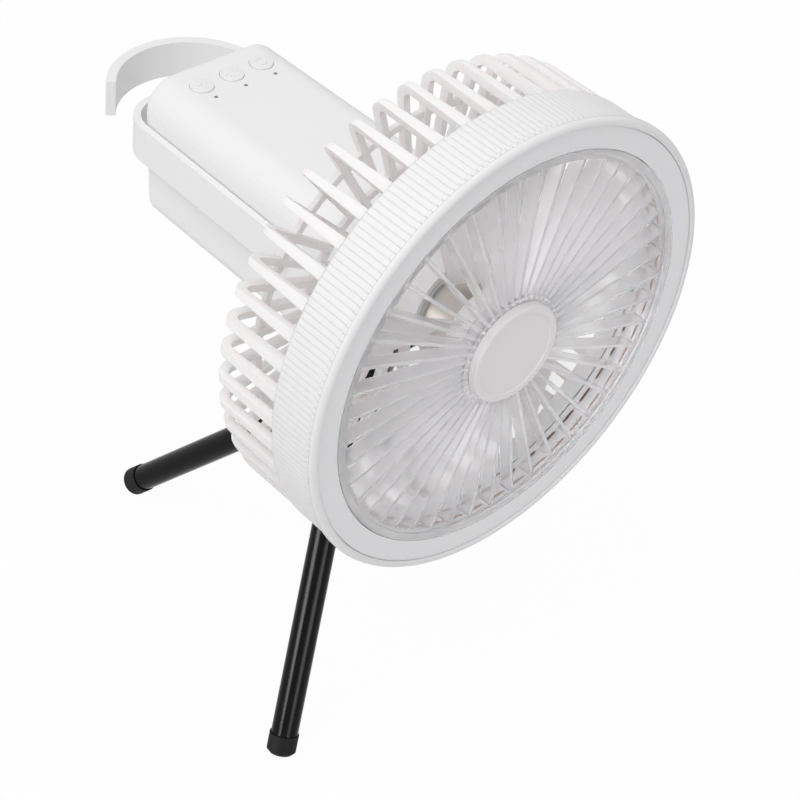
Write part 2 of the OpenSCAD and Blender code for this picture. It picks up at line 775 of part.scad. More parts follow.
// Two magnet arcs inside the can.
module motor_magnets() color(steel) from_front() {
    out_r = motor_r - can_wall;
    in_r = armature_r + magnet_gap;
    for (side = [0, 180]) turned(side - 65) along_axis()
        mirror([0, 1, 0]) rotate_extrude(angle = 130)
            translate([in_r, motor_front + 4]) square([out_r - in_r, motor_len - 9]);
}

module motor_bearings() color(brass) from_front() difference() {
    union() {
        rod_y(0, 0, bush_r, motor_front - motor_boss_len + 0.1, motor_front - motor_boss_len + bush_len);
        rod_y(0, 0, bush_r, motor_rear + 0.2, motor_rear + end_cap_len);
    }
    rod_y(0, 0, shaft_r + 0.05, motor_front - 3, motor_rear + 8);
}

module motor_end_cap() color(shade) from_front() difference() {
    union() {
        rod_y(0, 0, motor_r - can_wall, motor_rear - 1.5, motor_rear + weld);
        rod_y(0, 0, motor_r, motor_rear, motor_rear + end_cap_len);
    }
    rod_y(0, 0, bush_r, motor_rear + 0.2, motor_rear + end_cap_len + 1);
    rod_y(0, 0, shaft_r + 1, motor_rear - 3, motor_rear + 1);
    for (side = [-1, 1])
        rod_y(side * motor_screw_ring, 0, motor_screw_r, motor_rear + 0.6, motor_rear + end_cap_len + 1);
}

// Rubber sleeve that seats the motor in its collar.
module motor_sleeve() color(shade) from_front() {
    band(sleeve_in_r, sleeve_out_r, collar_front - 1, motor_seat);
}

module motor_screws() color(steel) from_front() for (side = [-1, 1])
    translate([side * motor_screw_ring, 0, 0]) difference() {
        union() {
            rod_y(0, 0, motor_screw_r, motor_rear + 0.8, cage_depth - 2.2 + weld);
            rod_y(0, 0, motor_screw_head_r, cage_depth - 2.2, cage_depth - 0.4);
        }
        cross_y(cage_depth - 0.4, 2.6);
    }

// ---------- battery housing ----------

// Rod along the fan's axis that ends in a flat face with a rounded edge.
module blunt_rod(x, z, r, front, rear, edge) {
    translate([x, front, z]) along_axis() rotate_extrude() polygon(concat(
        [[0, 0], [r, 0]], arc([r - edge, rear - front - edge], edge, 0, 90, 4), [[0, rear - front]]));
}

// Form of the housing, drawn in by the inset: two rounding radii above and below, narrowing slightly
// to the rear, and a leaning rear face with a rounded edge.
module body_form(inset) {
    top_z = body_top - body_round_top;
    low_z = body_round_bottom - body_bottom;
    top_r = body_round_top - inset;
    low_r = body_round_bottom - inset;
    front = body_front - 1;
    rear = body_rear - inset;
    edge = max(body_edge - inset, 0.3);
    $fn = 40;
    hull() for (side = [-1, 1]) {
        rod_y(side * (body_half_width(front) - body_round_top), top_z, top_r, front, front + 1);
        rod_y(side * (body_half_width(front) - body_round_bottom), low_z, low_r, front, front + 1);
        multmatrix([[1, 0, 0, 0], [0, 1, rear_slope, -rear_slope * body_top], [0, 0, 1, 0]]) {
            blunt_rod(side * (body_hw_rear - body_round_top), top_z, top_r, rear - 8, rear, edge);
            blunt_rod(side * (body_hw_rear - body_round_bottom), low_z, low_r, rear - 8, rear, edge);
        }
    }
}

// The housing's wall above or below the seam, open inside.
module shell_half(low_z, high_z) {
    big = 60;
    difference() {
        intersection() {
            body_form(0);
            block([-big, body_front, low_z], [big, body_rear + big, high_z]);
        }
        intersection() {
            body_form(body_wall);
            block([-big, body_in_front, low_z - 1], [big, body_rear + big, high_z + 1]);
        }
    }
}

module at_screw_posts() {
    for (side = [-1, 1], y = [screw_post_front_y, screw_post_rear_y])
        translate([side * screw_post_x, y, 0]) children();
}

module at_neck_screws() {
    for (side = [-1, 1], z = [neck_z_top, neck_z_bottom]) translate([side * neck_x, 0, z]) children();
}

module at_buttons() {
    for (i = [-1 : 1]) translate([i * button_pitch, button_y, 0]) children();
}

module at_standoffs() {
    for (side = [-1, 1], y = [standoff_front_y, standoff_rear_y])
        translate([side * standoff_x, y, 0]) children();
}

// Upper shell: button holes, light holes, screw posts and the pivot bosses.
module upper_shell() color(white) from_front() {
    difference() {
        union() {
            shell_half(seam_z, body_top + 1);
            intersection() {
                union() {
                    at_screw_posts() translate([0, 0, seam_z]) cylinder(r = screw_post_r, h = 60);
                    at_standoffs() translate([0, 0, board_top]) cylinder(r = 2.6, h = 60);
                    for (side = [-1, 1])
                        rod_x(pivot_y, pivot_z, pivot_boss_r,
                              side > 0 ? pin_in_x - 1 : -body_hw_front, side > 0 ? body_hw_front : 1 - pin_in_x);
                }
                body_form(body_wall / 2);
            }
        }
        at_buttons() translate([0, 0, body_in_top - 1])
            cylinder(r = button_r + button_gap, h = body_wall + 3);
        at_buttons() translate([0, -indicator_gap, body_in_top - 1])
            cylinder(r = indicator_r, h = body_wall + 3);
        at_screw_posts() translate([0, 0, seam_z - 1]) cylinder(r = shell_screw_r, h = 12);
        at_standoffs() translate([0, 0, board_top - 1]) cylinder(r = 1, h = 5);
        for (side = [-1, 1]) {
            rod_x(pivot_y, pivot_z, pivot_pin_r + pin_clear,
                  side > 0 ? pin_in_x - 2 : -body_hw_front - 2, side > 0 ? body_hw_front + 2 : 2 - pin_in_x);
            rod_x(pivot_y, pivot_z, washer_r + 0.2,
                  side > 0 ? washer_seat_x : -body_hw_front - 2, side > 0 ? body_hw_front + 2 : -washer_seat_x);
        }
        at_neck_screws() rod_y(0, 0, neck_screw_r + 0.2, body_front - 1, body_in_front + 1);
        rod_y(0, wire_hole_z, wire_hole_r, body_front - 1, body_in_front + 1);
    }
}

// Lower shell: screw posts, the boss for the tripod thread and the charging socket's slot.
module lower_shell() color(white) from_front() {
    slot_gap_w = 0.3;
    difference() {
        union() {
            shell_half(-body_bottom - 1, seam_z);
            intersection() {
                union() {
                    at_screw_posts() translate([0, 0, -body_bottom]) cylinder(r = screw_post_r + 0.8,
                                                                            h = body_bottom + seam_z);
                    translate([0, tripod_y, -body_bottom]) cylinder(r = insert_boss_r, h = insert_len + 3);
                    for (side = [-1, 1])
                        block([side * 11 - 1.2, socket_rear - 12, -body_bottom],
                              [side * 11 + 1.2, socket_rear - 1, charge_board_top - charge_board_t]);
                }
                body_form(body_wall / 2);
            }
        }
        translate([0, tripod_y, -body_bottom - 1]) cylinder(r = insert_r, h = insert_len + 1);
        at_screw_posts() {
            translate([0, 0, -body_bottom - 1]) cylinder(r = shell_screw_r + 0.2, h = body_bottom + 2);
            translate([0, 0, -body_bottom - 1]) cylinder(r = shell_screw_head_r + 0.2, h = 4);
        }
        at_neck_screws() rod_y(0, 0, neck_screw_r + 0.2, body_front - 1, body_in_front + 1);
        block([-socket_w / 2 - slot_gap_w, socket_rear - 6, -socket_drop - socket_h / 2 - slot_gap_w],
              [socket_w / 2 + slot_gap_w, socket_rear + 2, -socket_drop + socket_h / 2 + slot_gap_w]);
    }
}

module shell_screws() color(steel) from_front() at_screw_posts()
    translate([0, 0, -body_bottom]) difference() {
        union() {
            translate([0, 0, 3 - weld]) cylinder(r = shell_screw_r, h = body_bottom + 5);
            translate([0, 0, 0.8]) cylinder(r = shell_screw_head_r, h = 2.2);
        }
        translate([0, 0, 0.8]) rotate([90, 0, 0]) cross_y(0, 3.2);
    }

module neck_screws() color(steel) from_front() at_neck_screws() difference() {
    head_t = 2;
    union() {
        rod_y(0, 0, neck_screw_r, mid_plate_front + 1.4, body_in_front + weld);
        rod_y(0, 0, neck_head_r, body_in_front, body_in_front + head_t);
    }
    cross_y(body_in_front + head_t, 3);
}

// ---------- controls ----------

// One round button: slightly domed cap and a flange that stops under the top face.
module button(place) color(white) from_front() {
    top = body_top + button_proud;
    translate([place * button_pitch, button_y, 0]) rotate_extrude() polygon(concat(
        [[0, button_foot_z], [button_r + button_flange_w, button_foot_z],
         [button_r + button_flange_w, button_flange_top], [button_r, button_flange_top]],
        arc([button_r - 0.4, top - 0.6], 0.4, 0, 90, 3),
        [[button_r * 0.6, top - 0.05], [0, top]]));
}

module button_left() button(-1);
module button_middle() button(0);
module button_right() button(1);

module indicator_lights() color("lightblue") from_front() at_buttons()
    translate([0, -indicator_gap, board_top + 1]) cylinder(r = indicator_r, h = body_top - board_top - 1);

module control_board() color(green) from_front() difference() {
    block([-board_hw, board_front, board_top - board_t], [board_hw, board_rear, board_top]);
    at_standoffs() translate([0, 0, board_top - board_t - 1]) cylinder(r = 1.1, h = board_t + 2);
}

module button_switches() color(dark) from_front() at_buttons() {
    translate([-switch_w / 2, -switch_w / 2, board_top]) cube([switch_w, switch_w, switch_h - 1]);
    translate([0, 0, board_top]) cylinder(r = plunger_r, h = plunger_top - board_top);
}

// ---------- power ----------

module at_cells() {
    for (side = [-1, 1], z = [cell_z_low, cell_z_high]) translate([side * cell_x, 0, z]) children();
}

module battery_cells() color("steelblue") from_front() at_cells() {
    rod_y(0, 0, cell_r, cell_front, cell_front + cell_len);
    rod_y(0, 0, cell_r / 3, cell_front - 0.8, cell_front + weld);
}

// Tray that cradles the cells on the housing's floor.
module battery_tray() color(dark) from_front() difference() {
    out_x = cell_x + cell_r + tray_wall;
    block([-out_x, cell_front + 4, body_in_bottom], [out_x, cell_front + cell_len - 4, cell_z_high]);
    at_cells() rod_y(0, 0, cell_r + 0.1, cell_front - 5, cell_front + cell_len + 5);
}

module charging_board() color(green) from_front() {
    low = charge_board_top - charge_board_t;
    block([-12.5, socket_rear - 12.6, low], [12.5, body_back(low) - body_wall - 0.4, charge_board_top]);
}

// Metal charging socket, open to the rear.
module charging_socket() color(steel) from_front() difference() {
    block([-socket_w / 2, socket_rear - 7.6, charge_board_top],
          [socket_w / 2, socket_rear - 0.4, charge_board_top + socket_h]);
    block([-socket_w / 2 + 0.4, socket_rear - 7, charge_board_top + 0.4],
          [socket_w / 2 - 0.4, socket_rear + 1, charge_board_top + socket_h - 0.4]);
}

// Brass thread that the tripod screws into.
module thread_insert() color(brass) from_front() difference() {
    translate([0, tripod_y, -body_bottom]) cylinder(r = insert_r, h = insert_len);
    translate([0, tripod_y, -body_bottom - 1]) cylinder(r = stud_r, h = insert_len + 0.2);
}

// ---------- bracket and hook ----------

// Outline of the bracket seen from above, rounded at its two rear corners.
module strap_plan(front_hw, rear_hw, rear_y, corner, overrun = 0) {
    front_y_edge = pivot_y - strap_w / 2 - 1 - overrun;
    polygon([[-front_hw, front_y_edge], [front_hw, front_y_edge],
             [rear_hw, rear_y - corner], [-rear_hw, rear_y - corner]]);
    for (side = [-1, 1]) translate([side * (rear_hw - corner), rear_y - corner]) circle(r = corner);
    translate([corner - rear_hw, rear_y - 2 * corner]) square([2 * (rear_hw - corner), 2 * corner]);
}

// U-shaped strap that swings round the housing, with round ends at its pivots.
module stand_bracket() color(white) from_front() difference() {
    intersection() {
        translate([0, 0, pivot_z - strap_w / 2]) linear_extrude(strap_w) difference() {
            strap_plan(arm_in_front + strap_t, arm_in_rear + strap_t, bracket_rear, bracket_corner);
            strap_plan(arm_in_front, arm_in_rear, bracket_in_rear, bracket_corner - strap_t, 1);
        }
        union() {
            rod_x(pivot_y, pivot_z, strap_w / 2, -60, 60);
            block([-60, pivot_y, pivot_z - strap_w / 2 - 1], [60, bracket_rear + 1, pivot_z + strap_w / 2 + 1]);
        }
    }
    for (side = [-1, 1]) rod_x(pivot_y, pivot_z, pivot_pin_r,
                               side > 0 ? 20 : -pin_out_x, side > 0 ? pin_out_x : -20);
    rod_y(0, pivot_z, hook_rivet_r + pin_clear, bracket_in_rear - 1, bracket_rear + 1);
}

module pivot_pins() color(steel) from_front() {
    rod_x(pivot_y, pivot_z, pivot_pin_r, pin_in_x, pin_out_x);
    rod_x(pivot_y, pivot_z, pivot_pin_r, -pin_out_x, -pin_in_x);
}

// Friction washers, sunk in the housing's sides under the ends of the arms.
module pivot_washers() color(dark) from_front() {
    washer_out_x = body_half_width(pivot_y) + arm_gap - 0.3;
    difference() {
        union() {
            rod_x(pivot_y, pivot_z, washer_r, washer_seat_x, washer_out_x);
            rod_x(pivot_y, pivot_z, washer_r, -washer_out_x, -washer_seat_x);
        }
        rod_x(pivot_y, pivot_z, pivot_pin_r + pin_clear, -60, 60);
    }
}

// Bow from the root at the right round to the tip, and the strap that turns on the rivet.
module hook() color(white) from_front() {
    cut_w = 2 * hook_r + 10;
    cut_len = hook_r;
    difference() {
        translate([0, 0, pivot_z - strap_w / 2]) linear_extrude(strap_w) {
            intersection() {
                translate([0, hook_centre_y]) difference() {
                    circle(r = hook_r, $fn = 128);
                    circle(r = hook_in_r, $fn = 128);
                }
                polygon(concat([[0, hook_centre_y]],
                    arc([0, hook_centre_y], 2 * hook_r, hook_root_angle - 2, hook_tip)));
            }
            translate([-hook_root_w, hook_front])
                square([hook_root_w + hook_in_r + hook_t / 4, hook_t]);
        }
        rod_y(0, pivot_z, hook_rivet_r + pin_clear, hook_front - 1, hook_front + hook_t + 1);
        translate([-cut_w / 2, hook_front - cut_len, pivot_z - strap_w]) cube([cut_w, cut_len, 2 * strap_w]);
    }
}

module hook_rivet() color(steel) from_front() {
    rod_y(0, pivot_z, hook_rivet_r, bracket_in_rear - weld, hook_front + hook_t + 0.1 + weld);
    rod_y(0, pivot_z, hook_head_r, bracket_in_rear - hook_inner_head_t, bracket_in_rear);
    rod_y(0, pivot_z, hook_head_r, hook_front + hook_t + 0.1, hook_front + hook_t + 0.1 + hook_head_t);
}

module hook_washer() color(dark) from_front() difference() {
    rod_y(0, pivot_z, hook_washer_r, bracket_rear, bracket_rear + hook_washer_t - 0.1);
    rod_y(0, pivot_z, hook_rivet_r, bracket_rear - 1, bracket_rear + hook_washer_t + 1);
}

// ---------- ball head ----------

// Places a shape of the head's underside, drawn about the stud.
module at_stud() {
    from_front() translate([0, tripod_y, 0]) children();
}

// Places a shape of the upright tripod, drawn about its axis. The ball's centre is shared.
module at_tripod() {
    translate([axis_x, ball_y, ball_h - ball_z]) children();
}

// Ball, neck, platform and threaded stud, turned from one bar.
module ball_stud() color(dark) at_stud() {
    translate([0, 0, ball_z]) sphere(r = ball_r);
    translate([0, 0, ball_z]) cylinder(r = neck_r, h = platform_bottom - ball_z + weld);
    translate([0, 0, platform_bottom]) cylinder(r = platform_r, h = platform_t);
    translate([0, 0, platform_top - weld]) cylinder(r = stud_r, h = pad_t + stud_len + weld);
}

module stud_pad() color(dark) at_stud() difference() {
    translate([0, 0, platform_top]) cylinder(r = platform_r, h = pad_t);
    translate([0, 0, platform_top - 1]) cylinder(r = stud_r, h = pad_t + 2);
}

// Cup that holds the ball past its middle, with the lock screw's hole in its side.
module ball_socket() color(dark) at_tripod() difference() {
    rotate_extrude() polygon([
        [0, socket_bottom], [socket_r - 1, socket_bottom], [socket_r, socket_bottom + 1],
        [socket_r, socket_top - 3], [socket_r - 2.4, socket_top], [0, socket_top]]);
    translate([0, 0, ball_z]) sphere(r = ball_r + ball_clear);
    translate([0, 0, lock_z]) rotate([0, 90, 0]) cylinder(r = lock_screw_r + pin_clear, h = socket_r + 1);
    translate([0, 0, socket_bottom - 1]) cylinder(r = pan_bolt_r, h = 6.5);
}

// Knob with finger flutes, in one piece with its clamping screw.
module lock_knob() color(dark) at_tripod() translate([0, 0, lock_z]) rotate([0, 90, 0]) {
    tip_x = ball_r + ball_clear + 0.15;
    knob_x = socket_r + knob_gap;
    flutes = 8;
    translate([0, 0, tip_x]) cylinder(r = lock_screw_r, h = knob_x - tip_x + weld);
    translate([0, 0, knob_x]) difference() {
        cylinder(r = knob_r, h = knob_len);
        for (i = [0 : flutes - 1]) rotate([0, 0, i * 360 / flutes])
            translate([knob_r + 0.8, 0, -1]) cylinder(r = 1.8, h = knob_len + 2);
    }
}

module pan_washer() color(shade) at_tripod() difference() {
    translate([0, 0, hub_top]) cylinder(r = socket_r - 2, h = pan_washer_t);
    translate([0, 0, hub_top - 1]) cylinder(r = pan_bolt_r, h = pan_washer_t + 2);
}

module pan_bolt() color(steel) at_tripod() {
    translate([0, 0, hub_bottom + pan_recess - weld])
        cylinder(r = pan_bolt_r, h = socket_bottom + 5 - hub_bottom - pan_recess + weld);
    translate([0, 0, hub_bottom + pan_recess - 3.1]) cylinder(r = pan_head_r, h = 3);
}

// ---------- tripod ----------

module at_leg(index) {
    at_tripod() rotate([0, 0, leg_turn + 120 * index]) children();
}

// Moves a shape drawn along -Z from the hinge to the open leg's place.
module at_open_leg(index) {
    at_leg(index) translate([hinge_r, 0, hinge_z]) rotate([0, -leg_splay, 0]) children();
}

// Side view of the room that a leg's knuckle needs, from open to folded down. The roof stops the
// open leg.
module knuckle_slot() {
    n = [cos(leg_splay), sin(leg_splay)];
    u = [sin(leg_splay), -cos(leg_splay)];
    hinge = [hinge_r, hinge_z];
    roof = hinge + (knuckle_r + 0.1) * n;
    rotate([90, 0, 0]) translate([0, 0, -knuckle_t / 2 - slot_gap]) linear_extrude(knuckle_t + 2 * slot_gap) {
        translate(hinge) circle(r = slot_r);
        polygon([roof, roof + 30 * u, [roof.x + 30 * u.x, hinge_z - 40], [hinge_r - slot_r, hinge_z - 40],
                 [hinge_r - slot_r, hinge_z]]);
    }
}

// Hub with a slot for each leg and the bearing for the panning bolt.
module tripod_hub() color(dark) difference() {
    at_tripod() rotate_extrude() polygon([
        [0, hub_bottom], [tripod_hub_r - 1, hub_bottom], [tripod_hub_r, hub_bottom + 1],
        [tripod_hub_r, hub_shoulder - 3], [socket_r, hub_shoulder + 3],
        [socket_r, hub_top], [0, hub_top]]);
    for (index = [0 : 2]) {
        at_leg(index) knuckle_slot();
        at_leg(index) translate([hinge_r, 0, hinge_z]) rotate([90, 0, 0])
            cylinder(r = hinge_pin_r, h = 2 * tripod_hub_r, center = true);
    }
    at_tripod() translate([0, 0, hub_bottom - 1]) cylinder(r = pan_head_r + 0.3, h = pan_recess + 1);
    at_tripod() translate([0, 0, hub_bottom]) cylinder(r = pan_bolt_r + pin_clear, h = hub_top - hub_bottom + 1);
}

module leg_pins() color(steel) for (index = [0 : 2])
    at_leg(index) translate([hinge_r, 0, hinge_z]) rotate([90, 0, 0])
        cylinder(r = hinge_pin_r, h = hinge_pin_len, center = true);

// Knuckle: a flat eye on the hinge pin, a round collar and a spigot in the tube.
module leg_knuckle(index) color(dark) at_open_leg(index) difference() {
    union() {
        rotate([90, 0, 0]) translate([0, 0, -knuckle_t / 2]) linear_extrude(knuckle_t) {
            circle(r = knuckle_r);
            translate([-knuckle_r, -knuckle_len + 2]) square([2 * knuckle_r, knuckle_len - 2]);
        }
        translate([0, 0, -knuckle_len]) cylinder(r = leg_r, h = knuckle_len - 9);
        translate([0, 0, -knuckle_len - spigot_len])
            cylinder(r = leg_r - leg_wall, h = spigot_len + weld);
    }
    rotate([90, 0, 0]) cylinder(r = hinge_pin_r + pin_clear, h = 2 * knuckle_t, center = true);
}

module leg_knuckle_1() leg_knuckle(0);
module leg_knuckle_2() leg_knuckle(1);
module leg_knuckle_3() leg_knuckle(2);

module leg_tube(index) color(dark) at_open_leg(index) difference() {
    translate([0, 0, -tube_end]) cylinder(r = leg_r, h = tube_end - knuckle_len);
    translate([0, 0, -tube_end - 1]) cylinder(r = leg_r - leg_wall, h = tube_end + 2);
}

module leg_tube_1() leg_tube(0);
module leg_tube_2() leg_tube(1);
module leg_tube_3() leg_tube(2);

// Rubber boot over the tube's end, flat where it stands on the ground.
module leg_foot(index) color(dark) difference() {
    at_open_leg(index) difference() {
        rotate_extrude() polygon([
            [0, -leg_reach], [boot_r - boot_bevel, -leg_reach], [boot_r, -leg_reach + boot_bevel],
            [boot_r, -boot_start], [0, -boot_start]]);
        translate([0, 0, -tube_end]) cylinder(r = leg_r, h = boot_len);
    }
    translate([-200, -200, -20]) cube([400, 400, 20]);
}

module leg_foot_1() leg_foot(0);
module leg_foot_2() leg_foot(1);
module leg_foot_3() leg_foot(2);

// ---------- nodes ----------

front_ring();
led_diffuser();
led_board();
led_chips();
front_grille();
grille_cap();
rear_cage();
cage_screws();
fan_rotor();
rotor_nut();
motor_shaft();
motor_armature();
motor_can();
motor_magnets();
motor_bearings();
motor_end_cap();
motor_sleeve();
motor_screws();
upper_shell();
lower_shell();
shell_screws();
neck_screws();
button_left();
button_middle();
button_right();
indicator_lights();
control_board();
button_switches();
battery_cells();
battery_tray();
charging_board();
charging_socket();
thread_insert();
stand_bracket();
pivot_pins();
pivot_washers();
hook();
hook_rivet();
hook_washer();
ball_stud();
stud_pad();
ball_socket();
lock_knob();
pan_washer();
pan_bolt();
tripod_hub();
leg_pins();
leg_knuckle_1();
leg_knuckle_2();
leg_knuckle_3();
leg_tube_1();
leg_tube_2();
leg_tube_3();
leg_foot_1();
leg_foot_2();
leg_foot_3();
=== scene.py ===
# %% [markdown]
# # Dressing a portable camping fan
#
# The fan arrives as a finished model in metres: a light ring with a ribbed clear grille, a cage of
# fins, a battery housing, a swinging bracket with a hook, and a black tripod. This lesson gives every
# moulding its finish, adds the small repeated details, and sets up a plain pale studio round it.
# Each cell makes or measures one thing, so it can be run and looked at on its own.

# %% Load the fan
import json
import math

import bpy
from mathutils import Matrix, Vector


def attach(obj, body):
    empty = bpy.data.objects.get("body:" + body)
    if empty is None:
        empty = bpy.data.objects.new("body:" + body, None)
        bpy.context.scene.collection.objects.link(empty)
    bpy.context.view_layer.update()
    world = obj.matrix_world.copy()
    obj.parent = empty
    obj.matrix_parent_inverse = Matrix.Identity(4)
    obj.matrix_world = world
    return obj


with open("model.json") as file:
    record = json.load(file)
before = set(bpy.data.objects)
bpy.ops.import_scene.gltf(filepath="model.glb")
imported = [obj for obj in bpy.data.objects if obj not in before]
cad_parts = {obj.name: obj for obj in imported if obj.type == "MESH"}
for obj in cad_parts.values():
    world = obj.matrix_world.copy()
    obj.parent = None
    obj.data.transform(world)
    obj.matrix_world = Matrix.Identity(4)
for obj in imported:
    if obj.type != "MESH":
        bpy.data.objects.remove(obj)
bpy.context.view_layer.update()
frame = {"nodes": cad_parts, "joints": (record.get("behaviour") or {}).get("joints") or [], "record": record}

nodes = frame["nodes"]

# %% [markdown]
# ## Where things are
#
# The head leans back on its ball, so nothing on it is square to the ground. The rotor's joint gives
# the line of the fan's axis, and the ring's foremost point along that line gives the front edge. From
# then on, places on the head are written in the head's own frame: X across, Y back along the axis and
# Z up, in millimetres from the middle of the front edge.

# %% Measure the head's own frame
MM = 0.001
spin = next(joint for joint in frame["joints"] if joint["name"] == "rotor_spin")
on_axis, rearward = Vector(spin["pos_m"]), Vector(spin["axis"]).normalized()
across = Vector((1, 0, 0))
upward = across.cross(rearward)
head_turn = Matrix((across, rearward, upward)).transposed()
front_edge = min(rearward.dot(v.co) for v in nodes["front_ring"].data.vertices)
head_origin = on_axis + rearward * (front_edge - rearward.dot(on_axis))


def from_front(x, y, z):
    """A point of the head's own frame, in the frame of the whole fan."""
    return head_origin + head_turn @ Vector((x * MM, y * MM, z * MM))


def head_box(node):
    """The lowest and highest corner of a piece in the head's own frame, in millimetres."""
    to_head = head_turn.transposed()
    places = [to_head @ (v.co - head_origin) / MM for v in nodes[node].data.vertices]
    return [[pick(place[i] for place in places) for i in range(3)] for pick in (min, max)]


print("the head leans back by %.2f degrees" % math.degrees(math.asin(-rearward.z)))
print("ring, in the head's frame:",
      [[round(v, 2) for v in corner] for corner in head_box("front_ring")])

# %% [markdown]
# ## A skin for moulded plastic
#
# Injection-moulded plastic is never one flat colour. The mould leaves a fine satin grain, the colour
# drifts very slightly where the melt cooled at different speeds, and handling polishes some areas more
# than others. One shader group holds these three effects, so that every plastic on the fan can use it
# with its own values. It reads Object coordinates, which are in metres, so a grain size is a real size.

# %% Build the moulded skin group
def add_socket(tree, name, kind, out=False, value=None):
    socket = tree.interface.new_socket(
        name=name, in_out="OUTPUT" if out else "INPUT", socket_type="NodeSocket" + kind
    )
    if value is not None:
        socket.default_value = value
    return socket


def noise_on_object(tree, detail, scale=None):
    """A noise in the object's own metres. A scale of 60 gives patches of about 17 mm."""
    place = tree.nodes.new("ShaderNodeTexCoord")
    noise = tree.nodes.new("ShaderNodeTexNoise")
    noise.inputs["Detail"].default_value = detail
    if scale is not None:
        noise.inputs["Scale"].default_value = scale
    tree.links.new(place.outputs["Object"], noise.inputs["Vector"])
    return noise


def wander(tree, noise, amount, middle):
    """Turns a noise of 0 to 1 into values that wander round a middle by up to half the amount."""
    centred = tree.nodes.new("ShaderNodeMath")
    centred.operation = "SUBTRACT"
    centred.inputs[1].default_value = 0.5
    tree.links.new(noise.outputs["Fac"], centred.inputs[0])
    result = tree.nodes.new("ShaderNodeMath")
    result.operation = "MULTIPLY_ADD"
    tree.links.new(centred.outputs[0], result.inputs[0])
    tree.links.new(amount, result.inputs[1])
    if isinstance(middle, float):
        result.inputs[2].default_value = middle
    else:
        tree.links.new(middle, result.inputs[2])
    return result.outputs[0]


def moulded_skin_group():
    tree = bpy.data.node_groups.new("moulded_skin", "ShaderNodeTree")
    add_socket(tree, "Tint", "Color", value=(0.8, 0.8, 0.8, 1))
    add_socket(tree, "Drift", "Float", value=0.02)
    add_socket(tree, "Gloss", "Float", value=0.4)
    add_socket(tree, "Handling", "Float", value=0.05)
    add_socket(tree, "Grain", "Float", value=3000.0)
    add_socket(tree, "Color", "Color", out=True)
    add_socket(tree, "Roughness", "Float", out=True)
    add_socket(tree, "Height", "Float", out=True)
    new, link = tree.nodes.new, tree.links.new
    entry, leave = new("NodeGroupInput"), new("NodeGroupOutput")

    cloud = noise_on_object(tree, detail=3.0, scale=28.0)
    tinted = new("ShaderNodeVectorMath")
    tinted.operation = "SCALE"
    link(entry.outputs["Tint"], tinted.inputs[0])
    link(wander(tree, cloud, entry.outputs["Drift"], 1.0), tinted.inputs["Scale"])
    link(tinted.outputs["Vector"], leave.inputs["Color"])

    hands = noise_on_object(tree, detail=5.0, scale=60.0)
    link(wander(tree, hands, entry.outputs["Handling"], entry.outputs["Gloss"]),
         leave.inputs["Roughness"])

    grain = noise_on_object(tree, detail=2.0)
    link(entry.outputs["Grain"], grain.inputs["Scale"])
    link(grain.outputs["Fac"], leave.inputs["Height"])
    return tree


moulded_skin = moulded_skin_group()
print("group:", moulded_skin.name, [s.name for s in moulded_skin.interface.items_tree])

# %% [markdown]
# ## Opaque mouldings
#
# The ring, cage, housing, bracket and hook are one white plastic with a satin face. The buttons and the
# cap are smoother, and the tripod is gloss black. One function makes them all: the skin group feeds
# colour and roughness, its grain goes through a Bump node, and a Bevel node rounds the look of every
# edge by a few tenths of a millimetre, as a mould does, without touching the shape.
#
# Light soaks a few millimetres into white plastic. It doesn't show on the thick ring, but the cage's
# thin fins glow a little and turn warmer where they shade each other, so they get a finish of their own.

# %% Make a plastic
def plastic(name, tint, gloss, drift=0.02, handling=0.06, grain=3000.0, grain_depth=0.05,
            edge=0.35, metallic=0.0, specular=0.5):
    """A finish. Grain depth and edge are in millimetres, and grain is the scale of its noise."""
    material = bpy.data.materials.new(name)
    material.use_nodes = True
    tree = material.node_tree
    shader = tree.nodes["Principled BSDF"]
    skin = tree.nodes.new("ShaderNodeGroup")
    skin.node_tree = moulded_skin
    skin.inputs["Tint"].default_value = (*tint, 1)
    skin.inputs["Drift"].default_value = drift
    skin.inputs["Gloss"].default_value = gloss
    skin.inputs["Handling"].default_value = handling
    skin.inputs["Grain"].default_value = grain
    rounded = tree.nodes.new("ShaderNodeBevel")
    rounded.samples = 4
    rounded.inputs["Radius"].default_value = edge * MM
    bump = tree.nodes.new("ShaderNodeBump")
    bump.inputs["Strength"].default_value = 1.0
    bump.inputs["Distance"].default_value = grain_depth * MM
    link = tree.links.new
    link(skin.outputs["Color"], shader.inputs["Base Color"])
    link(skin.outputs["Roughness"], shader.inputs["Roughness"])
    link(skin.outputs["Height"], bump.inputs["Height"])
    link(rounded.outputs["Normal"], bump.inputs["Normal"])
    link(bump.outputs["Normal"], shader.inputs["Normal"])
    shader.inputs["Metallic"].default_value = metallic
    shader.inputs["Specular IOR Level"].default_value = specular
    return material


def soak_light(material, weight, depth, reach=None):
    """Lets light wander below the surface. Depth is in millimetres, and reach is red, green, blue."""
    shader = material.node_tree.nodes["Principled BSDF"]
    shader.inputs["Subsurface Weight"].default_value = weight
    shader.inputs["Subsurface Scale"].default_value = depth * MM
    if reach is not None:
        shader.inputs["Subsurface Radius"].default_value = reach


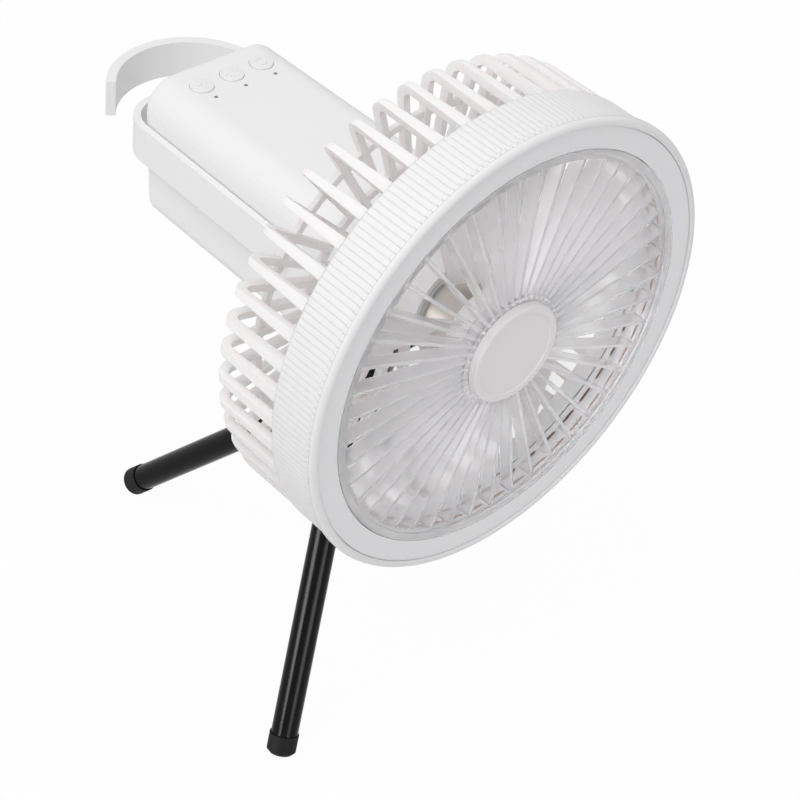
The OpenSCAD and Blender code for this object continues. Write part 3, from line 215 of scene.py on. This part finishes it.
satin_white = plastic("satin_white", (0.9, 0.897, 0.902), 0.5, grain_depth=0.012, specular=0.0)
thin_white = plastic("thin_white", (0.95, 0.925, 0.92), 0.5, grain_depth=0.012, specular=0.0)
soak_light(thin_white, 0.4, 4.0, reach=(1.0, 0.72, 0.62))
cap_white = plastic("cap_white", (0.88, 0.855, 0.865), 0.3, drift=0.01, grain_depth=0.004)
button_white = plastic("button_white", (0.87, 0.868, 0.87), 0.34, grain_depth=0.006)
grey_moulding = plastic("grey_moulding", (0.5, 0.5, 0.51), 0.5, grain_depth=0.01)
gloss_black = plastic("gloss_black", (0.008, 0.008, 0.009), 0.22, drift=0.2, grain_depth=0.004,
                      specular=0.1)
black_lacquer = plastic("black_lacquer", (0.003, 0.003, 0.0032), 0.16, drift=0.2, handling=0.04,
                        grain=400.0, grain_depth=0.004, specular=0.1)
black_rubber = plastic("black_rubber", (0.012, 0.012, 0.012), 0.62, drift=0.25, grain=2200.0,
                       grain_depth=0.05, edge=0.6, specular=0.12)
grey_rubber = plastic("grey_rubber", (0.55, 0.55, 0.55), 0.7, grain=2200.0, grain_depth=0.03)
circuit_green = plastic("circuit_green", (0.03, 0.16, 0.07), 0.35, drift=0.3, grain=900.0,
                        grain_depth=0.02, edge=0.1)
light_chip = plastic("light_chip", (0.85, 0.72, 0.3), 0.4, edge=0.1)
dark_lens = plastic("dark_lens", (0.22, 0.22, 0.23), 0.25, edge=0.1)
cell_film = plastic("cell_film", (0.05, 0.14, 0.4), 0.3, drift=0.1, edge=0.4)
print("plastics:", len(bpy.data.materials))

# %% [markdown]
# ## Metals
#
# The screws, pins and rivets are plated steel, and turning or rolling leaves fine marks on them. The
# motor's can is darker and a little warmer, as rolled and plated sheet is.

# %% Make the metals
steel = plastic("plated_steel", (0.6, 0.6, 0.62), 0.28, drift=0.08, grain=5000.0, grain_depth=0.004,
                edge=0.15, metallic=1.0)
motor_steel = plastic("motor_steel", (0.5, 0.47, 0.45), 0.4, drift=0.35, grain=4000.0,
                      grain_depth=0.006, edge=0.3, metallic=0.8)
ferrite = plastic("ferrite", (0.05, 0.05, 0.055), 0.5, edge=0.2)
copper = plastic("enamelled_copper", (0.55, 0.2, 0.07), 0.3, drift=0.3, metallic=0.9, edge=0.1)
brass = plastic("turned_brass", (0.7, 0.5, 0.2), 0.28, drift=0.1, metallic=1.0, edge=0.15)
print("metals made")

# %% [markdown]
# ## Clear and frosted mouldings
#
# The grille is clear plastic, and the rotor is frosted. Light has to reach what is behind them, so a
# shadow ray passes through instead of stopping at the surface: the Light Path node tells such a ray
# from the others, and a Transparent shader takes its place. The light window of the ring is milky.

# %% Make the see-through plastics
def see_through(name, tint, roughness, transmission, shadow, grain_depth=0.0005, specular=0.5):
    """A plastic that passes light on. Its shadow keeps the given share of the light."""
    material = plastic(name, tint, roughness, drift=0.01, handling=0.03, edge=0.3,
                       grain_depth=grain_depth, specular=specular)
    tree = material.node_tree
    shader = tree.nodes["Principled BSDF"]
    shader.inputs["Transmission Weight"].default_value = transmission
    shader.inputs["IOR"].default_value = 1.46
    path = tree.nodes.new("ShaderNodeLightPath")
    clear = tree.nodes.new("ShaderNodeBsdfTransparent")
    clear.inputs["Color"].default_value = (shadow, shadow, shadow, 1)
    mix = tree.nodes.new("ShaderNodeMixShader")
    leave = tree.nodes["Material Output"]
    link = tree.links.new
    link(path.outputs["Is Shadow Ray"], mix.inputs["Fac"])
    link(shader.outputs["BSDF"], mix.inputs[1])
    link(clear.outputs["BSDF"], mix.inputs[2])
    link(mix.outputs["Shader"], leave.inputs["Surface"])
    return material


clear_plastic = see_through("clear_plastic", (0.97, 0.965, 0.975), 0.14, 0.7, 0.97)
frosted_plastic = see_through("frosted_plastic", (0.96, 0.945, 0.948), 0.5, 0.15, 0.9,
                              grain_depth=0.01, specular=0.1)
milky_window = plastic("milky_window", (0.89, 0.885, 0.9), 0.3, drift=0.02, grain_depth=0.003,
                       edge=0.4)
soak_light(milky_window, 0.15, 2.0)
print("see-through plastics made")

# %% [markdown]
# ## Finish for each piece
#
# The record names a material slot for every piece. A table turns those slots into the finishes above,
# so a piece that is added to the record later still gets one. The cage shares its slot with the other
# white mouldings, and takes its own finish after the table.

# %% Give every piece its finish
finish_of_slot = {
    "white_shell": satin_white, "cap_white": cap_white, "button_white": button_white,
    "light_window": milky_window, "clear_grille": clear_plastic, "frosted": frosted_plastic,
    "grey_rubber": grey_rubber, "inner_plastic": grey_moulding, "board": circuit_green,
    "chip": light_chip, "lens": dark_lens, "steel": steel, "motor_steel": motor_steel,
    "magnet": ferrite, "copper": copper, "brass": brass, "cell": cell_film,
    "black_plastic": gloss_black, "black_metal": black_lacquer, "black_rubber": black_rubber,
}
for part in frame["record"]["subparts"]:
    piece = nodes[part["node"]]
    for place in piece.material_slots:
        place.material = finish_of_slot[part["material_slot"]]
nodes["rear_cage"].material_slots[0].material = thin_white

# %% [markdown]
# ## Rings of copies
#
# A fan is full of small shapes that repeat round its axis: ribs, dashes, beads and petals. They follow
# one rule, so Geometry Nodes make them. A circle gives the places, each place gets a copy that is
# turned with it, and the whole ring is then turned and moved to where it belongs. The copies are made
# real and the result becomes a plain mesh, so it can ride on a part as any other piece does.

# %% Build, place and run a ring of copies
def geometry_tree(name, sockets):
    tree = bpy.data.node_groups.new(name, "GeometryNodeTree")
    for label, kind, value in sockets:
        add_socket(tree, label, kind, value=value)
    add_socket(tree, "Geometry", "Geometry", out=True)
    return tree, tree.nodes.new, tree.links.new


def ring_of_copies(tree, entry, item, smooth):
    """Ends a tree: the item is copied round a circle, each copy turned with it, and placed."""
    new, link = tree.nodes.new, tree.links.new
    circle = new("GeometryNodeMeshCircle")
    link(entry.outputs["Count"], circle.inputs["Vertices"])
    link(entry.outputs["Radius"], circle.inputs["Radius"])
    index = new("GeometryNodeInputIndex")
    step = new("ShaderNodeMath")
    step.operation = "DIVIDE"
    step.inputs[0].default_value = 2 * math.pi
    link(entry.outputs["Count"], step.inputs[1])
    angle = new("ShaderNodeMath")
    angle.operation = "MULTIPLY"
    link(index.outputs[0], angle.inputs[0])
    link(step.outputs[0], angle.inputs[1])
    turn = new("ShaderNodeCombineXYZ")
    link(angle.outputs[0], turn.inputs["Z"])
    copies = new("GeometryNodeInstanceOnPoints")
    link(circle.outputs["Mesh"], copies.inputs["Points"])
    link(item, copies.inputs["Instance"])
    link(turn.outputs[0], copies.inputs["Rotation"])
    placed = new("GeometryNodeTransform")
    link(copies.outputs["Instances"], placed.inputs["Geometry"])
    link(entry.outputs["Place"], placed.inputs["Translation"])
    link(entry.outputs["Turn"], placed.inputs["Rotation"])
    real = new("GeometryNodeRealizeInstances")
    link(placed.outputs["Geometry"], real.inputs["Geometry"])
    shading = new("GeometryNodeSetShadeSmooth")
    shading.inputs["Shade Smooth"].default_value = smooth
    link(real.outputs["Geometry"], shading.inputs["Geometry"])
    coloured = new("GeometryNodeSetMaterial")
    link(shading.outputs["Geometry"], coloured.inputs["Geometry"])
    link(entry.outputs["Finish"], coloured.inputs["Material"])
    leave = new("NodeGroupOutput")
    link(coloured.outputs["Geometry"], leave.inputs["Geometry"])


def grow(name, tree, values):
    """Runs a geometry tree with these values and returns its result as a plain mesh object."""
    seed = bpy.data.objects.new(name + "_seed", bpy.data.meshes.new(name + "_seed"))
    bpy.context.scene.collection.objects.link(seed)
    modifier = seed.modifiers.new("grow", "NODES")
    modifier.node_group = tree
    names = {s.name: s.identifier for s in tree.interface.items_tree if s.in_out == "INPUT"}
    for label, value in values.items():
        modifier[names[label]] = value
    graph = bpy.context.evaluated_depsgraph_get()
    mesh = bpy.data.meshes.new_from_object(seed.evaluated_get(graph), depsgraph=graph)
    bpy.data.objects.remove(seed)
    mesh.name = name
    mesh.materials.clear()
    mesh.materials.append(values["Finish"])
    piece = bpy.data.objects.new(name, mesh)
    bpy.context.scene.collection.objects.link(piece)
    print(name, len(mesh.polygons), "faces")
    return piece


onto_axis = head_turn @ Matrix.Rotation(-math.pi / 2, 3, "X")
axis_turn = tuple(onto_axis.to_euler())
print("turn onto the fan's axis:", [round(math.degrees(angle), 2) for angle in axis_turn])

# %% [markdown]
# ## Fine ribs round the gripping band
#
# The band of the ring is covered with fine ribs from front to back, which give it its grip and its
# lined look. A rib is a coarse cylinder that lies along the axis and is pressed flat. The rim in front
# of the band stands a little higher, so it gets a short row of its own at its own radius, in line with
# the long one. The ribs keep flat faces, because smooth shading would wash out their low sides.

# %% Two rows of ribs
def rib_ring_tree():
    tree, new, link = geometry_tree("rib_ring", (
        ("Count", "Int", 225), ("Radius", "Float", 0.094), ("Length", "Float", 0.018),
        ("Width", "Float", 0.0028), ("Height", "Float", 0.00008), ("Place", "Vector", (0, 0, 0)),
        ("Turn", "Vector", (0, 0, 0)), ("Finish", "Material", None)))
    entry = new("NodeGroupInput")
    rib = new("GeometryNodeMeshCylinder")
    rib.inputs["Vertices"].default_value = 8
    rib.inputs["Radius"].default_value = 1.0
    link(entry.outputs["Length"], rib.inputs["Depth"])
    half = new("ShaderNodeMath")
    half.operation = "MULTIPLY"
    half.inputs[1].default_value = 0.5
    link(entry.outputs["Width"], half.inputs[0])
    size = new("ShaderNodeCombineXYZ")
    size.inputs["Z"].default_value = 1.0
    link(entry.outputs["Height"], size.inputs["X"])
    link(half.outputs[0], size.inputs["Y"])
    shaped = new("GeometryNodeTransform")
    link(rib.outputs["Mesh"], shaped.inputs["Geometry"])
    link(size.outputs[0], shaped.inputs["Scale"])
    ring_of_copies(tree, entry, shaped.outputs["Geometry"], smooth=False)
    return tree


rib_ring = rib_ring_tree()
rib_count, rib_width, rib_height = 225, 2.8, 0.08
for name, radius, front, rear in (("grip_ribs", 94, 4.0, 22.7), ("rim_ribs", 95, 2.1, 3.6)):
    ribs = grow(name, rib_ring, {
        "Count": rib_count, "Radius": radius * MM, "Length": (rear - front) * MM,
        "Width": rib_width * MM, "Height": rib_height * MM, "Turn": axis_turn,
        "Place": from_front(0, (front + rear) / 2, 0), "Finish": satin_white})
    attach(ribs, "head")

# %% [markdown]
# ## Painted shade between the grille's ribs
#
# Where the grille's skirt meets the ring, the gap behind it falls into shade. That shade is painted here as
# a row of short brown dashes, one between each pair of ribs, with a paler row of painted shade in front of
# it. The
# same tree makes them: here a rib is short, wide and very low, and the whole ring is turned by half a cell
# so that the dashes fall between the ribs.

# %% Two rows of dashes
# Painted shade: the brown and the paler tan stand in for the shade in the gap where the skirt meets the
# ring.
painted_shade_brown = plastic("painted_shade_brown", (0.16, 0.1, 0.08), 0.6, drift=0.3, edge=0.1)
painted_shade_pale = plastic("painted_shade_pale", (0.46, 0.37, 0.31), 0.6, drift=0.2, edge=0.1)
grille_rib_count = 45
skirt_radius, dash_height = 78.55, 0.15
half_cell = Matrix.Rotation(math.pi / grille_rib_count, 3, "Z")
dash_turn = tuple((onto_axis @ half_cell).to_euler())
for name, depth, length, width, finish in (
        ("rear_dashes", 9.2, 0.8, 6.9, painted_shade_brown), ("front_dashes", 4.4, 0.6, 7.3, painted_shade_pale)):
    row = grow(name, rib_ring, {
        "Count": grille_rib_count, "Radius": skirt_radius * MM, "Length": length * MM,
        "Width": width * MM, "Height": dash_height * MM, "Turn": dash_turn,
        "Place": from_front(0, depth, 0), "Finish": finish})
    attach(row, "head")

# %% [markdown]
# ## Beads at the grille's hub ring
#
# Each rib of the grille ends in the hub ring, and the clear plastic forms a small bead there that
# catches the light. A bead and the petal of a raised mark are the same shape at heart, a sphere pressed
# to three sizes, so one node tree serves for both.

# %% A petal ring, and the beads
def petal_ring_tree():
    tree, new, link = geometry_tree("petal_ring", (
        ("Count", "Int", 4), ("Radius", "Float", 0.0015),
        ("Size", "Vector", (0.001, 0.0006, 0.0001)), ("Place", "Vector", (0, 0, 0)),
        ("Turn", "Vector", (0, 0, 0)), ("Finish", "Material", None)))
    entry = new("NodeGroupInput")
    petal = new("GeometryNodeMeshUVSphere")
    petal.inputs["Segments"].default_value = 16
    petal.inputs["Rings"].default_value = 8
    petal.inputs["Radius"].default_value = 1.0
    shaped = new("GeometryNodeTransform")
    link(petal.outputs["Mesh"], shaped.inputs["Geometry"])
    link(entry.outputs["Size"], shaped.inputs["Scale"])
    ring_of_copies(tree, entry, shaped.outputs["Geometry"], smooth=True)
    return tree


petal_ring = petal_ring_tree()
hub_ring_radius, bead_depth = 22.3, 1.9
rib_beads = grow("rib_beads", petal_ring, {
    "Count": grille_rib_count, "Radius": hub_ring_radius * MM,
    "Size": (1.0 * MM, 0.8 * MM, 0.9 * MM), "Place": from_front(0, bead_depth, 0),
    "Turn": axis_turn, "Finish": clear_plastic})
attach(rib_beads, "head")

# %% [markdown]
# ## Raised marks on the buttons
#
# Each button carries a small raised mark that a thumb can feel: four petals for the fan's speed, a sun
# with rays for the light, and a ring for power. A mark stands about 0.15 mm proud, and it rides on its
# button, so it goes down with a press.

# %% Three marks
mark_sunk = 0.05


def mark(name, node, count, radius, size):
    """A ring of petals on top of a button, in millimetres, sunk a little so that it is seated."""
    low, high = head_box(node)
    piece = grow(name, petal_ring, {
        "Count": count, "Radius": radius * MM, "Size": [v * MM for v in size],
        "Place": from_front((low[0] + high[0]) / 2, (low[1] + high[1]) / 2, high[2] - mark_sunk),
        "Turn": tuple(head_turn.to_euler()), "Finish": button_white})
    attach(piece, node)


mark("speed_mark", "button_left", 4, 1.5, (1.15, 0.62, 0.2))
mark("light_mark", "button_middle", 8, 2.2, (0.75, 0.24, 0.2))
mark("power_mark", "button_right", 24, 2.1, (0.24, 0.42, 0.2))

# %% [markdown]
# ## A white studio
#
# A pale product needs a white room and only a little light, or its own whites would be lost. So what is
# seen and what gives light are set apart. A ray from the camera, or one that gloss or glass sends on,
# looks at the room and meets plain white. Any other ray meets the room as it is lit. The world is such
# a room: white to look at, and softer as a lamp.

# %% White to look at
def white_to_look_at(tree, shader_socket, share_socket=None):
    """Mixes plain white into a shader, only for rays that look at it."""
    path = tree.nodes.new("ShaderNodeLightPath")
    camera_or_gloss = tree.nodes.new("ShaderNodeMath")
    camera_or_gloss.operation = "MAXIMUM"
    any_look = tree.nodes.new("ShaderNodeMath")
    any_look.operation = "MAXIMUM"
    share = tree.nodes.new("ShaderNodeMath")
    share.operation = "MULTIPLY"
    share.inputs[1].default_value = 1.0
    glow = tree.nodes.new("ShaderNodeEmission")
    glow.inputs["Color"].default_value = (1, 1, 1, 1)
    glow.inputs["Strength"].default_value = 1.0
    mix = tree.nodes.new("ShaderNodeMixShader")
    link = tree.links.new
    link(path.outputs["Is Camera Ray"], camera_or_gloss.inputs[0])
    link(path.outputs["Is Glossy Ray"], camera_or_gloss.inputs[1])
    link(camera_or_gloss.outputs[0], any_look.inputs[0])
    link(path.outputs["Is Transmission Ray"], any_look.inputs[1])
    link(any_look.outputs[0], share.inputs[0])
    if share_socket:
        link(share_socket, share.inputs[1])
    link(share.outputs[0], mix.inputs["Fac"])
    link(shader_socket, mix.inputs[1])
    link(glow.outputs[0], mix.inputs[2])
    return mix.outputs[0]


world = bpy.data.worlds.new("studio")
bpy.context.scene.world = world
world.use_nodes = True
world_tree = world.node_tree
sky = world_tree.nodes["Background"]
sky.inputs["Color"].default_value = (1, 0.995, 1, 1)
sky.inputs["Strength"].default_value = 0.61
world_tree.links.new(white_to_look_at(world_tree, sky.outputs["Background"]),
                     world_tree.nodes["World Output"].inputs["Surface"])
print("world ready, with a light of", round(sky.inputs["Strength"].default_value, 2))

# %% [markdown]
# ## The floor
#
# The floor is a plain pale sheet. Most of what the camera sees of it is plain white, and the rest is
# the lit sheet with the fan's faint shadow. Beside the fan, where the head's shadow falls at rest, the
# share of white drops in a soft oval of painted shade that stays put at every pose. Part of its grey is
# the real shadow on the lit sheet and part is painted, and it keeps the gaps of the cage from glaring.

# %% Make the floor
half_side = 4.0
floor_mesh = bpy.data.meshes.new("floor")
floor_mesh.from_pydata([(-half_side, -half_side, 0), (half_side, -half_side, 0),
                        (half_side, half_side, 0), (-half_side, half_side, 0)], [], [(0, 1, 2, 3)])
floor = bpy.data.objects.new("floor", floor_mesh)
bpy.context.scene.collection.objects.link(floor)
pale_floor = bpy.data.materials.new("pale_floor")
pale_floor.use_nodes = True
floor_tree = pale_floor.node_tree
floor_shader = floor_tree.nodes["Principled BSDF"]
floor_shader.inputs["Base Color"].default_value = (0.88, 0.88, 0.88, 1)
floor_shader.inputs["Roughness"].default_value = 0.9
floor_shader.inputs["Specular IOR Level"].default_value = 0.0


def share_of_white(tree, centre, reach, under, open_floor):
    """The floor's share of white: low in an oval of painted shade, high outside, with a soft edge."""
    place = tree.nodes.new("ShaderNodeTexCoord")
    oval = tree.nodes.new("ShaderNodeMapping")
    oval.vector_type = "TEXTURE"
    oval.inputs["Location"].default_value = centre
    oval.inputs["Scale"].default_value = reach
    distance = tree.nodes.new("ShaderNodeVectorMath")
    distance.operation = "LENGTH"
    fade = tree.nodes.new("ShaderNodeMapRange")
    fade.interpolation_type = "SMOOTHERSTEP"
    fade.inputs["From Min"].default_value = 0.2
    fade.inputs["From Max"].default_value = 1.4
    fade.inputs["To Min"].default_value = under
    fade.inputs["To Max"].default_value = open_floor
    link = tree.links.new
    link(place.outputs["Object"], oval.inputs["Vector"])
    link(oval.outputs["Vector"], distance.inputs[0])
    link(distance.outputs["Value"], fade.inputs["Value"])
    return fade.outputs["Result"]


# Painted shade: a fixed oval where the head's shadow falls at rest, lowering the floor's white share at
# every pose.
painted_shade_centre, painted_shade_reach = (0.15, 0.012, 0.0), (0.08, 0.042, 1.0)
floor_share = share_of_white(floor_tree, painted_shade_centre, painted_shade_reach, under=0.3, open_floor=0.97)
floor_tree.links.new(
    white_to_look_at(floor_tree, floor_shader.outputs["BSDF"], floor_share),
    floor_tree.nodes["Material Output"].inputs["Surface"])
floor_mesh.materials.append(pale_floor)
print("floor ready:", 2 * half_side, "m wide")

# %% [markdown]
# ## Lamps
#
# One large soft lamp stands high on the left, so the ring's band is the brightest surface and the front
# of the fan falls a shade darker. Two low ones work as reflectors do: they light nothing matt, and only
# gloss shows them, as two bright stripes down the black leg in front and as glints in the grille.

# %% Place the lamps
def soft_lamp(name, place, target, width, height, watts, gloss_only=False):
    """A rectangular lamp that faces its target, in metres."""
    lamp = bpy.data.lights.new(name, "AREA")
    lamp.shape = "RECTANGLE"
    lamp.size, lamp.size_y, lamp.energy = width, height, watts
    holder = bpy.data.objects.new(name, lamp)
    holder.location = place
    look = Vector(target) - Vector(place)
    holder.rotation_euler = look.to_track_quat("-Z", "Y").to_euler()
    holder.visible_diffuse = not gloss_only
    holder.visible_transmission = not gloss_only
    bpy.context.scene.collection.objects.link(holder)


middle, front_leg = (0.0, 0.0, 0.15), (-0.04, -0.08, 0.1)
soft_lamp("key", (-0.8, 0.08, 1.53), middle, 1.1, 1.1, 10.4)
soft_lamp("left_strip", (-0.99, 0.03, 0.11), front_leg, 0.7, 0.2, 8.5, gloss_only=True)
soft_lamp("right_strip", (-0.22, -1.04, 0.2), front_leg, 0.42, 0.2, 2.2, gloss_only=True)

# %% [markdown]
# ## The camera
#
# A long lens from above and to the left looks at the fan's face. Its three angles and its place are
# given in the head's own frame, so it turns with the head's lean, and its three axes are worked out
# from them.

# %% Set up the camera
azimuth, elevation, roll = (math.radians(angle) for angle in (-46.0, 40.25, 6.81))
camera_place = from_front(-513.31, -441.71, 543.7)
back = Vector((math.sin(azimuth) * math.cos(elevation), -math.cos(azimuth) * math.cos(elevation),
               math.sin(elevation)))
level_right = Vector((math.cos(azimuth), math.sin(azimuth), 0))
level_up = back.cross(level_right)
right = math.cos(roll) * level_right + math.sin(roll) * level_up
up = -math.sin(roll) * level_right + math.cos(roll) * level_up
lens = bpy.data.cameras.new("camera")
lens.sensor_width, lens.lens = 36.0, 108.0
lens.clip_start, lens.clip_end = 0.05, 20.0
camera = bpy.data.objects.new("camera", lens)
camera.matrix_world = Matrix.Translation(camera_place) @ (
    head_turn @ Matrix((right, up, back)).transposed()).to_4x4()
bpy.context.scene.collection.objects.link(camera)
bpy.context.scene.camera = camera
bpy.context.scene.view_settings.view_transform = "Standard"
print("camera at", [round(v, 3) for v in camera.matrix_world.translation])
